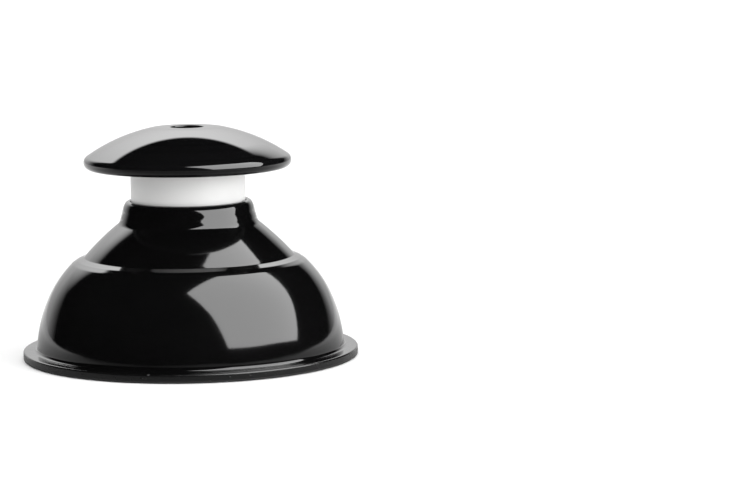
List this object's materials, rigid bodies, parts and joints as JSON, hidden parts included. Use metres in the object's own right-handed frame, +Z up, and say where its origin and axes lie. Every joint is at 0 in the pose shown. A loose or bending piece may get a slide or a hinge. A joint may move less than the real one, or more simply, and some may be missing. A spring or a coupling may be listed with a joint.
{
  "type": "sink plunger",
  "caption": "Short sink plunger: stepped rubber suction cup with a flat flange, a tubular collar in its neck and a domed palm knob held by a screw.",
  "frame": {"origin": "centre of the cup's mouth, in the plane of the flange's underside", "axes": "+Z up along the plunger's axis, from the mouth to the knob; +X and +Y are any two directions across it"},
  "size_m": [0.08, 0.08, 0.0547],
  "materials": {
    "cup_rubber": "glossy black moulded rubber, matt on the flange's underside",
    "collar_plastic": "satin white moulded plastic",
    "knob_plastic": "high-gloss black moulded plastic",
    "chromed_steel": "bright chrome plate",
    "zinc_steel": "zinc-plated steel",
    "insert_brass": "turned brass"
  },
  "bodies": {
    "cup": {"cup": "cup_rubber"},
    "handle": {"collar": "collar_plastic", "knob_base": "knob_plastic", "knob_dome": "knob_plastic", "clamp_screw": "chromed_steel", "clamp_washer": "chromed_steel", "thrust_washer": "zinc_steel", "threaded_insert": "insert_brass"}
  },
  "joints": [
    {"name": "press", "type": "slide", "parent": "cup", "child": "handle", "axis": [0, 0, 1], "range_m": [-0.012, 0.002], "stiffness_N_per_m": 2500, "deforming": ["cup"]}
  ]
}
